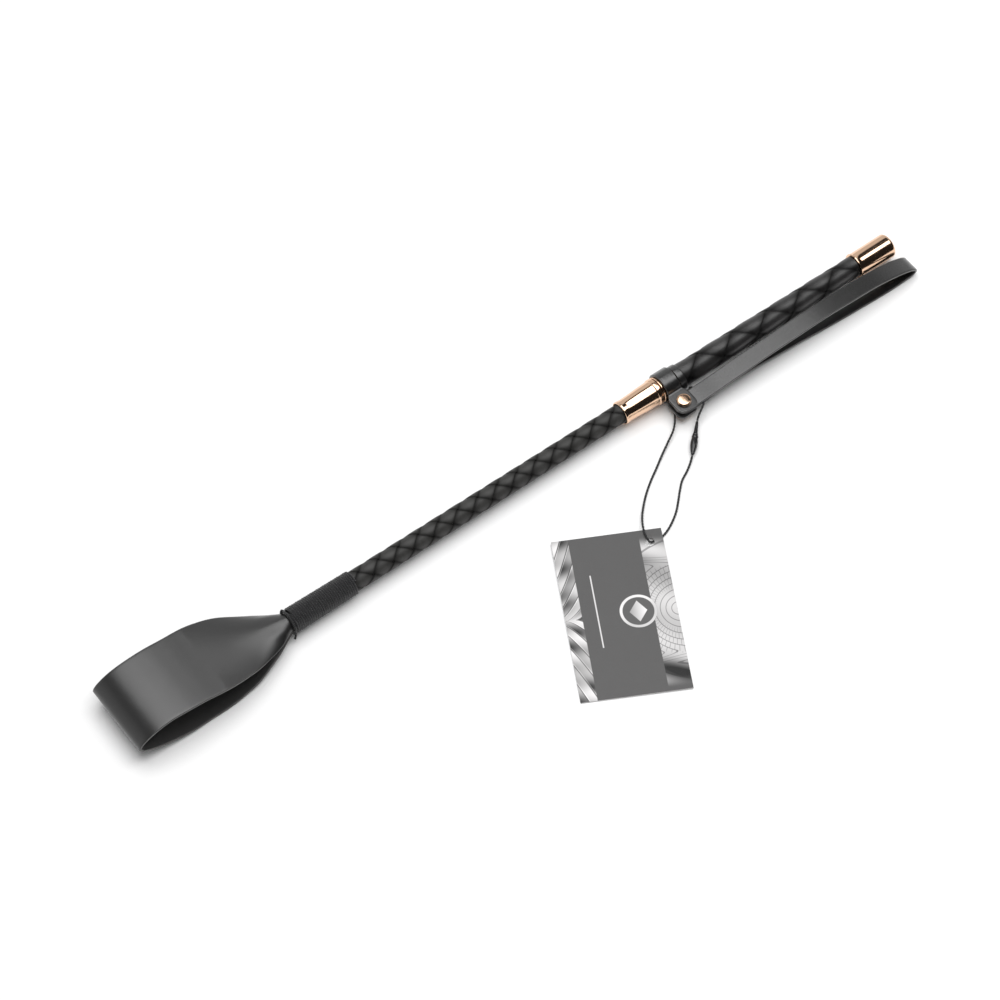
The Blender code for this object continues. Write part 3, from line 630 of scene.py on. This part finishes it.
# ---- popper -------------------------------------------------------------------------------------
def make_popper(finish):
    """The folded strip, with a rounded cut edge, a slightly uneven outline and gathers at the neck."""
    stations = smooth_rows(np.array(POPPER_STATIONS) * (MM, MM, MM, 1.0), 430, measured=2)
    normals = left_normals(stations[:, :2])
    x, z, half, degrees = stations.T
    arc = np.radians(np.maximum(degrees, 0.5))
    radius = half / np.sin(arc)
    along = distance_along(stations[:, :2])
    uneven = 0.10 * MM * np.sin(along / (7.1 * MM)) + 0.07 * MM * np.sin(along / (3.3 * MM) + 1.0)
    fraction, extra, height, edge, back = band_outline(41, LEATHER, 0.42 * MM)
    spread = fraction * ((arc * radius)[:, None] - 0.42 * MM) + extra
    spread = spread + (np.abs(fraction) > 0.99) * np.sign(fraction) * uneven[:, None]
    angle = spread / radius[:, None]
    neck = smoothstep((x - 80 * MM) / (12 * MM)) * (1 - smoothstep((x - 97 * MM) / (5 * MM)))
    wobble = 0.6 * np.sin(along / (6 * MM))[:, None]
    gathers = 0.06 * MM * neck[:, None] * np.cos(spread / (0.95 * MM) + wobble)
    slack = 0.14 * MM * np.sin(along / (17 * MM))[:, None] * np.cos(fraction * 1.3)
    outward = np.column_stack([-normals[:, 0], np.zeros(len(x)), -normals[:, 1]])
    drift = POPPER_DRIFT * smoothstep((WHIPPING_START - x) / (38 * MM))
    centre = np.column_stack([x - MIDDLE, drift, z]) - outward * radius[:, None]
    direction = (outward[:, None, :] * np.cos(angle)[..., None]
                 + np.array((0.0, 1.0, 0.0)) * np.sin(angle)[..., None])
    flat = (1 - smoothstep((x - 80 * MM) / (15 * MM)))[:, None]
    reach = radius[:, None] + height + gathers + slack * flat
    grid = centre[:, None, :] + direction * reach[..., None]
    grid[..., 2] = np.maximum(grid[..., 2], 0.03 * MM)
    piece = skin("popper_leather", [grid], finish, None,
                 {"edge": [edge], "back": [back]})
    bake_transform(piece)
    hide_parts("popper")


# ---- whipping -----------------------------------------------------------------------------------
def round_the_axis(station, radius, angle):
    """Points at the given stations, radii and angles; the angle runs from +Z towards -Y."""
    return np.stack(np.broadcast_arrays(station - MIDDLE, -radius * np.sin(angle),
                                        AXIS_Z + radius * np.cos(angle)), axis=-1)


def wound(station, ring_r, angle, section, plies):
    """A thread wound round the axis: its grid of section points and its fields."""
    path = round_the_axis(station, ring_r, angle)
    out = round_the_axis(np.full_like(station, MIDDLE), np.ones_like(station), angle) - (0, 0, AXIS_Z)
    lengthwise = np.broadcast_to(np.array((1.0, 0.0, 0.0)), out.shape)
    grid = tube_grid(path, out, lengthwise, section)
    around = np.linspace(0.0, plies, section.shape[-2], endpoint=False)
    return grid, distance_along(path)[:, None], around[None, :]


def make_whipping(finish):
    pitch = 1.18 * MM
    turns = (WHIPPING_END - WHIPPING_START - 2 * THREAD_R) / pitch
    angle = np.linspace(0.0, math.tau * turns, int(72 * turns))
    share = angle / angle[-1]
    wander = 0.06 * MM * np.sin(angle * 0.27) * np.sin(angle * 0.043 + 1.0) * np.sin(math.pi * share)
    station = WHIPPING_START + THREAD_R + share * turns * pitch + wander
    outer = WHIPPING_R + (WHIPPING_END_R - WHIPPING_R) * share
    tuck = 0.45 * MM * (smoothstep(1 - angle / 0.9) + smoothstep(1 - (angle[-1] - angle) / 0.9))
    ring_r = outer - THREAD_R - tuck + 0.05 * MM * np.sin(angle * 0.31 + 2.0) - 0.05 * MM
    section = circle(THREAD_R, 10) * (1.0, 0.98)
    grid, along, around = wound(station, ring_r, angle, section, 3)
    piece = skin("whipping_thread", [grid], finish, "crop",
                 {"along": [along], "around": [around]}, sharp=60)
    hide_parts("whipping")


def make_end_turn(finish):
    """The doubled last turn, the knot that ties it on the far side and its cut end on the near one."""
    station = WHIPPING_START - THREAD_R - 0.1 * MM
    ring_r = 6.25 * MM
    angle = np.linspace(math.radians(-65), math.radians(300), 150)
    ring = wound(np.full_like(angle, station), np.full_like(angle, ring_r), angle,
                 circle(THREAD_R, 12), 3)
    # the knot: two tight turns round the ring's own thread
    turn = np.linspace(0.0, 2.2 * math.tau, 60)
    at = math.radians(-52) + turn * 0.012
    knot_path = round_the_axis(station - 0.3 * MM + 0.55 * MM * np.sin(turn),
                               ring_r + 0.55 * MM * np.cos(turn), at)
    # the cut end leaves the ring on the near side and splays a little
    reach = np.linspace(0.0, 1.0, 16)
    tail_path = round_the_axis(station - 1.3 * MM * reach ** 1.5, ring_r + 2.0 * MM * reach,
                               math.radians(118) + 0.12 * reach ** 2)
    grids, alongs, arounds = [ring[0]], [ring[1]], [ring[2]]
    for path, radius in ((knot_path, np.full(60, 0.42 * MM)),
                         (tail_path, np.interp(reach, (0.0, 0.75, 1.0), (0.52, 0.5, 0.62)) * MM)):
        normals, binormals = carried_frames(path)
        grids.append(tube_grid(path, normals, binormals, circle(1.0, 12) * radius[:, None, None]))
        alongs.append(distance_along(path)[:, None])
        arounds.append(ring[2])
    piece = skin("whipping_last_turn", grids, finish, "crop",
                 {"along": alongs, "around": arounds}, sharp=60)
    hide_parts("whipping_end_turn")


# ---- plaits -------------------------------------------------------------------------------------
def make_plait(name, node, finish, ends, radii, strands, period, cell, over, lift, thickness,
               floor_r, coverage, flatness):
    """Flat laces that go over one and under one, as many to the left as to the right.

    A cell is one crossing: (station, angle) of its middle. The period is the distance between two
    crossings on one line along the crop, and over is the hand of the lace on top at the given cell.
    """
    pitch = strands * period
    rows = int((ends[1] - ends[0]) / (0.55 * MM))
    station = np.linspace(ends[0], ends[1], rows)
    outside = np.interp(station, ends, radii)
    fraction, extra, height = band_outline(17, 1.0, 0.2, steps=3)[:3]
    across = (fraction * 0.96 + extra / 0.2 * 0.04) * coverage
    grids, raised, sunk = [], [], []
    for hand in (1, -1):
        other_start = strands / math.tau * (cell[1] + hand * math.tau * cell[0] / pitch)
        for strand in range(strands):
            middle = (hand * math.tau * (station - cell[0]) / pitch + cell[1]
                      + math.tau * strand / strands)
            angle = middle[:, None] + across * math.tau / strands
            crossing = (strands / math.tau * (angle + hand * math.tau * station[:, None] / pitch)
                        - other_start)
            swing = np.cos(math.pi * (crossing + strand))
            swing = hand * over * np.tanh(flatness * swing) / math.tanh(flatness)
            side = np.abs(across / coverage)
            radius = outside[:, None] - lift - thickness / 2 + lift * swing
            radius = radius + height * thickness - (0.07 * side ** 2 + 0.16 * side ** 12) * MM
            radius = np.maximum(radius, floor_r + (height > 0) * 0.2 * MM)
            grids.append(round_the_axis(station[:, None], radius, angle))
            # raised marks where the colour gets a painted highlight; sunk marks painted shade at the
            # edges, deepest where a lace dives under.
            raised.append(np.clip(swing, 0, 1) * (1 - side ** 5) * (height > 0))
            sunk.append(np.broadcast_to(side ** 10, swing.shape) * (0.75 - 0.25 * swing))
    piece = skin(name, grids, finish, "crop", {"raised": raised, "sunk": sunk}, sharp=50)
    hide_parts(node)


# ---- metal --------------------------------------------------------------------------------------
def make_metal(gold, leather):
    mouth, end = FERRULE_START, RING_START - GAP
    ferrule = [(mouth, 5.45 * MM), (mouth, 5.8 * MM), (mouth + 0.25 * MM, 6.1 * MM),
               (mouth + 0.9 * MM, 6.18 * MM), (mouth + 1.9 * MM, 6.06 * MM),
               (mouth + 3.2 * MM, 5.92 * MM), (mouth + 5 * MM, 5.93 * MM), (mouth + 9 * MM, 6.12 * MM),
               (mouth + 14 * MM, 6.42 * MM), (end - 3.4 * MM, 6.62 * MM), (end - 2.75 * MM, 6.64 * MM),
               (end - 2.6 * MM, 6.85 * MM), (end - 2.2 * MM, 7.05 * MM), (end - 0.5 * MM, 7.05 * MM),
               (end, 6.75 * MM), (end, BORE_R), (CORE_START - 0.1 * MM, BORE_R),
               (CORE_START - 0.1 * MM, 5.45 * MM)]
    piece = turned("ferrule_shell", rounded(ferrule, 0.22 * MM), gold, "crop")
    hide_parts("ferrule")
    ring_end = BAND_START - GAP
    ring = [(RING_START, BORE_R), (RING_START, 6.75 * MM), (RING_START + 0.25 * MM, 6.95 * MM),
            (RING_START + 0.75 * MM, 6.95 * MM), (RING_START + 0.95 * MM, 6.3 * MM),
            (ring_end - 0.2 * MM, 6.3 * MM), (ring_end, 6.1 * MM), (ring_end, BORE_R)]
    piece = turned("neck_ring_shell", rounded(ring, 0.15 * MM), gold, "crop")
    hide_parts("neck_ring")
    start = GRIP_END + GAP
    cap = [(CORE_END + GAP, 0.0), (CORE_END + GAP, BORE_R), (start, BORE_R), (start, 6.62 * MM),
           (start + 0.35 * MM, 6.78 * MM), (start + 0.9 * MM, 6.66 * MM), (start + 1.8 * MM, 6.5 * MM),
           (start + 3.2 * MM, 6.45 * MM), (start + 8 * MM, 6.47 * MM), (start + 14 * MM, 6.53 * MM),
           (start + 20 * MM, 6.58 * MM), (LENGTH - 2.0 * MM, 6.6 * MM)]
    for turn in np.radians(np.linspace(0, 90, 9)):
        cap.append((LENGTH - 1.7 * MM + 1.7 * MM * math.sin(turn), 4.9 * MM + 1.7 * MM * math.cos(turn)))
    cap += [(LENGTH, 2.5 * MM), (LENGTH, 0.0)]
    piece = turned("end_cap_shell", cap, gold, "crop")
    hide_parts("end_cap")
    band_end = GRIP_START - GAP
    band = [(BAND_START, BORE_R), (BAND_START, 7.0 * MM), (band_end, 7.0 * MM), (band_end, BORE_R)]
    piece = turned("grip_end_leather", rounded(band, 0.5 * MM, 5), leather, "crop")
    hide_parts("grip_end_band")


def make_rivet(gold):
    foot = TAB_LIFT + LEATHER / 2 + GAP
    height, rim = 1.5 * MM, 0.75 * MM
    pocket = foot + 0.8 * MM
    socket_r = RIVET_POST_R + 0.2 * MM
    head = [(RIVET_HEAD_R - 0.25 * MM, foot), (RIVET_HEAD_R - 0.05 * MM, foot + 0.08 * MM)]
    for share in np.linspace(1.0, 0.06, 16):
        crown = 0.12 * (1 - share ** 2) + 0.88 * (1 - share ** 12)
        head.append((RIVET_HEAD_R * share, foot + rim + (height - rim) * crown))
    cap = [(0.0, pocket), (socket_r, pocket), (socket_r, foot)] + head + [(0.0, foot + height)]
    below = [(r, -h) for r, h in reversed(head + [(0.0, foot + height)])]
    post = below + [(RIVET_POST_R, -foot), (RIVET_POST_R, pocket - 0.2 * MM), (0.0, pocket - 0.2 * MM)]
    turn = np.linspace(0.0, math.tau, 64, endpoint=False)[:, None]
    for name, node, profile in (("rivet_head", "rivet_cap", cap), ("rivet_foot", "rivet_post", post)):
        r, h = np.array(profile).T
        grid = np.stack([COLLAR_X - MIDDLE + np.cos(turn) * r, RIVET_Y + np.sin(turn) * r,
                         np.broadcast_to(AXIS_Z + h, (64, len(h)))], axis=-1)
        piece = skin(name, [grid], gold, "collar", loop=True, closed=False, sharp=35)
        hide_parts(node)


# ---- collar and wrist strap ---------------------------------------------------------------------
def collar_path():
    """The collar's middle line about the axis, from the upper tab's end round to the lower one's."""
    fillet_z = TAB_LIFT + TAB_FILLET_R
    reach = COLLAR_MID_R + TAB_FILLET_R
    fillet_y = -math.sqrt(reach ** 2 - fillet_z ** 2)
    lean = math.asin(fillet_z / reach)
    upper = [(y, TAB_LIFT) for y in np.linspace(-TAB_REACH, fillet_y - 0.3 * MM, 24)]
    for turn in -math.pi / 2 + (math.pi / 2 - lean) * np.linspace(0, 1, 10):
        upper.append((fillet_y + TAB_FILLET_R * math.cos(turn), fillet_z + TAB_FILLET_R * math.sin(turn)))
    ring = [(COLLAR_MID_R * math.cos(turn), COLLAR_MID_R * math.sin(turn))
            for turn in (math.pi - lean) * np.linspace(1, -1, 80)[1:-1]]
    return np.array(upper + ring + [(y, -z) for y, z in reversed(upper)])


def make_collar(finish):
    path = collar_path()
    normals = left_normals(path)
    y, z = path.T
    widening = smoothstep((-y - 6.5 * MM) / (4.0 * MM))
    half = COLLAR_HALF_WIDTH + (TAB_HALF_WIDTH - COLLAR_HALF_WIDTH) * widening
    past = np.maximum(0.0, -y - (TAB_REACH - 4.0 * MM)) / (4.0 * MM)
    half = half - 2.6 * MM * (1 - np.sqrt(1 - 0.98 * past ** 2))
    fraction, extra, height, edge, back = band_outline(15, LEATHER, 0.4 * MM)
    spread = fraction * (half[:, None] - 0.4 * MM) + extra
    crease = 0.07 * MM * np.exp(-((np.abs(spread) - half[:, None] + 0.95 * MM) / (0.16 * MM)) ** 2)
    height = height - crease * (height > 0.4 * MM)
    grid = np.stack([COLLAR_X - MIDDLE + spread, y[:, None] + normals[:, 0:1] * height,
                     AXIS_Z + z[:, None] + normals[:, 1:2] * height], axis=-1)
    piece = skin("collar_leather", [grid], finish, "collar",
                 {"edge": [edge], "back": [back]})
    cut_hole(piece, (COLLAR_X - MIDDLE, RIVET_Y, AXIS_Z), RIVET_HOLE_R)
    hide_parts("strap_collar")


def make_wrist_strap(finish):
    """One strip with rounded ends, finished on both faces; the rivet goes through both ends."""
    route = smooth_rows(np.array(STRAP_ROUTE) * MM, 330, measured=3)
    normals = left_normals(route[:, (0, 2)])
    x, y, z = route.T
    from_end = np.where(np.arange(len(x)) < len(x) // 2, np.abs(x - x[0]), np.abs(x - x[-1]))
    past = np.maximum(0.0, 1 - from_end / STRAP_HALF_WIDTH)
    half = STRAP_HALF_WIDTH * np.sqrt(1 - 0.96 * past ** 2)
    along = distance_along(route)
    fraction, extra, height, edge, back = band_outline(17, STRAP_THICK, 0.4 * MM)
    spread = fraction * (half[:, None] - 0.4 * MM) + extra
    spread = spread + 0.05 * MM * np.sin(along / (5.3 * MM))[:, None] * fraction
    grid = np.stack([(x - MIDDLE)[:, None] + normals[:, 0:1] * height, y[:, None] + spread,
                     z[:, None] + normals[:, 1:2] * height], axis=-1)
    piece = skin("wrist_strap_leather", [grid], finish, "wrist_loop",
                 {"edge": [edge], "back": [back * 0.0]})
    cut_hole(piece, (COLLAR_X - MIDDLE, RIVET_Y, AXIS_Z), RIVET_HOLE_R)
    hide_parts("wrist_strap")


# ---- tag ----------------------------------------------------------------------------------------
def make_tag_cord(finish):
    """Two plies twisted together; it leaves the seal's plug and comes back into its socket."""
    lay_length = 3.5 * MM
    route = smooth_rows(np.array(CORD_ROUTE) * MM, 900, measured=3) - (MIDDLE, 0.0, 0.0)
    along = distance_along(route)
    normals, binormals = carried_frames(route)
    around = np.linspace(0.0, math.tau, 24, endpoint=False)
    twist = math.tau * along[:, None] / lay_length
    lobes = CORD_R * (0.66 + 0.56 * np.abs(np.cos(around - twist)) ** 1.1)
    section = np.stack([lobes * np.cos(around), lobes * np.sin(around)], axis=-1)
    grid = tube_grid(route, normals, binormals, section)
    piece = skin("tag_cord_plies", [grid], finish, "wrist_loop",
                 {"along": [along[:, None]], "around": [(around / math.tau)[None, :] * 9]}, sharp=70)
    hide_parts("tag_cord")


def make_seal(finish):
    """The tag's snap seal: a slim plug and a wider socket with two windows."""
    axis = SEAL_BOTTOM - SEAL_TOP
    length = axis.length
    shoulder = 8.0 * MM
    mouth = shoulder + 0.3 * MM
    plug = [(0.0, 0.0), (0.5, 0.0), (0.66, 0.25), (0.75, 1.4), (0.85, 3.0), (0.98, 5.0), (1.12, 6.6),
            (1.16, 6.9), (1.34, 7.1), (1.38, 7.5), (1.3, 8.0), (0.55, 8.0), (0.55, 12.4), (0.0, 12.4)]
    bore = [(0.0, 13.2), (0.85, 13.2), (0.85, mouth / MM), (1.5, mouth / MM), (1.64, mouth / MM + 0.3),
            (1.66, 9.2), (1.52, 9.5), (1.56, 10.0), (1.78, 11.3), (1.86, 12.4), (1.8, 13.8), (1.62, 15.0),
            (1.4, 16.2), (1.2, length / MM - 1.8), (0.85, length / MM - 0.5), (0.6, length / MM),
            (0.0, length / MM)]
    turn = np.linspace(0.0, math.tau, 32, endpoint=False)[:, None]
    placing = (Matrix.Translation(SEAL_TOP - Vector((MIDDLE, 0, 0)))
               @ Vector((0, 0, 1)).rotation_difference(axis.normalized()).to_matrix().to_4x4())
    for name, node, profile in (("seal_plug", "tag_seal_plug", plug),
                                ("seal_socket", "tag_seal_socket", bore)):
        fine = [np.array(profile[0])]
        for a, b in zip(np.array(profile), np.array(profile)[1:]):
            count = max(1, math.ceil(np.linalg.norm(b - a) / 0.35))
            fine.extend(a + (b - a) * step / count for step in range(1, count + 1))
        r, h = np.array(fine).T
        dent = 0.0
        if name == "seal_socket":
            window = np.exp(-((h - 12.2) / 1.25) ** 4) * (r > 1.3)
            dent = 0.34 * window * np.exp(-(np.sin(turn) / 0.5) ** 4)
        r = (r - dent) * MM * np.ones_like(turn)
        grid = np.stack([np.cos(turn) * r, np.sin(turn) * r, np.broadcast_to(h * MM, r.shape)], axis=-1)
        grid = grid @ np.array(placing.to_3x3()).T + np.array(placing.translation)
        piece = skin(name, [grid], finish, "wrist_loop", loop=True, closed=False,
                     sharp=45)
        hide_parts(node)


def make_tag_card(finish):
    """Card stock with slightly rounded corners and a punched hole; u and v run over its face."""
    placing = (Matrix.Translation(CARD_CORNER - Vector((MIDDLE, 0, 0)))
               @ Matrix.Rotation(math.radians(CARD_TURN), 4, "Z")
               @ Matrix.Rotation(math.radians(CARD_TILT), 4,
                                 Vector((CARD_HEIGHT, -CARD_WIDTH, 0.0)).normalized()))
    corner_r = 0.25 * MM
    outline = []
    for cx, cy, first in ((-corner_r, -corner_r, 0), (corner_r - CARD_WIDTH, -corner_r, 90),
                          (corner_r - CARD_WIDTH, corner_r - CARD_HEIGHT, 180),
                          (-corner_r, corner_r - CARD_HEIGHT, 270)):
        for turn in np.radians(np.linspace(first, first + 90, 5)):
            outline.append((cx + corner_r * math.cos(turn), cy + corner_r * math.sin(turn)))
    bm = bmesh.new()
    rims = []
    thick = CARD_THICK / MM
    for inset, height in ((0.02, 0.0), (0.0, 0.04), (0.0, thick - 0.06), (0.02, thick - 0.01),
                          (0.04, thick)):
        ring = []
        for x, y in outline:
            fx = min(max(x, (inset * MM) - CARD_WIDTH), -inset * MM)
            fy = min(max(y, (inset * MM) - CARD_HEIGHT), -inset * MM)
            ring.append(bm.verts.new((fx, fy, height * MM)))
        rims.append(ring)
    for lower, upper in zip(rims, rims[1:]):
        for i in range(len(lower)):
            j = (i + 1) % len(lower)
            bm.faces.new((lower[i], lower[j], upper[j], upper[i]))
    bm.faces.new(reversed(rims[0]))
    bm.faces.new(rims[-1])
    mesh = bpy.data.meshes.new("tag_card_stock")
    bm.to_mesh(mesh)
    bm.free()
    mesh.materials.append(finish)
    piece = bpy.data.objects.new("tag_card_stock", mesh)
    bpy.context.collection.objects.link(piece)
    cut_hole(piece, (-CARD_HOLE[0], -CARD_HOLE[1], 0.0), CARD_HOLE_R)
    places = np.array([vert.co for vert in piece.data.vertices])
    for key, values in (("u", 1 + places[:, 0] / CARD_WIDTH), ("v", 1 + places[:, 1] / CARD_HEIGHT),
                        ("edge", places[:, 2] < 0.495 * MM)):
        attribute = piece.data.attributes.new(key, "FLOAT", "POINT")
        attribute.data.foreach_set("value", values.astype(np.float32))
    piece.data.transform(placing)
    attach(piece, "card")
    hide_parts("tag_card")


# ---- putting it together ------------------------------------------------------------------------
make_camera()
make_floor()
make_softbox("softbox", (0.125, 0.12, SOFTBOX_HEIGHT), (1.75, 2.4))
make_softbox("side_softbox", (1.34, -0.35, SOFTBOX_HEIGHT), (0.68, 1.0))
make_world()

thread = make_thread("whipping_thread", 0.9 * MM)
make_tag_cord(make_thread("cord_thread", 1.05 * MM))
smooth_leather = make_leather("smooth_leather", 0.34, 0.7, 0.55, (0.03, 0.028, 0.026))
strap_leather = make_leather("strap_leather", 0.27, 0.7, 0.7, (0.018, 0.017, 0.016))
rose_gold = make_gold("rose_gold")

make_popper(smooth_leather)
make_whipping(thread)
make_end_turn(thread)
shaft_lace = make_plait_leather("shaft_lace", 0.5, 0.25, (0.022, 0.0215, 0.0205))
grip_lace = make_plait_leather("grip_lace", 0.38, 0.45, (0.011, 0.0105, 0.0105))
make_plait("shaft_plait", "shaft_braid", shaft_lace,
           ends=(TAIL_END + GAP, CORE_START - 0.4 * MM), radii=(SHAFT_START_R, SHAFT_END_R),
           strands=3, period=11.75 * MM, cell=(144.9 * MM, math.radians(-6)), over=-1,
           lift=0.2 * MM, thickness=0.7 * MM, floor_r=3.4 * MM, coverage=0.475, flatness=1.2)
make_plait("grip_plait", "grip_braid", grip_lace,
           ends=(GRIP_START, GRIP_END), radii=(GRIP_START_R, GRIP_END_R),
           strands=2, period=21.9 * MM, cell=(346.6 * MM, math.radians(63)), over=1,
           lift=0.4 * MM, thickness=0.7 * MM, floor_r=4.65 * MM, coverage=0.485, flatness=0.5)
make_metal(rose_gold, strap_leather)
make_collar(strap_leather)
make_wrist_strap(strap_leather)
make_rivet(rose_gold)
make_seal(make_plastic("seal_plastic", (0.012, 0.012, 0.013), 0.2))
make_tag_card(make_card_print())
for node, hidden_finish in (("core_rod", make_glass_fibre()),
                            ("handle_core", make_plastic("core_plastic", (0.03, 0.03, 0.032), 0.5))):
    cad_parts[node].material_slots[0].material = hidden_finish

bpy.context.scene.view_settings.view_transform = "Standard"
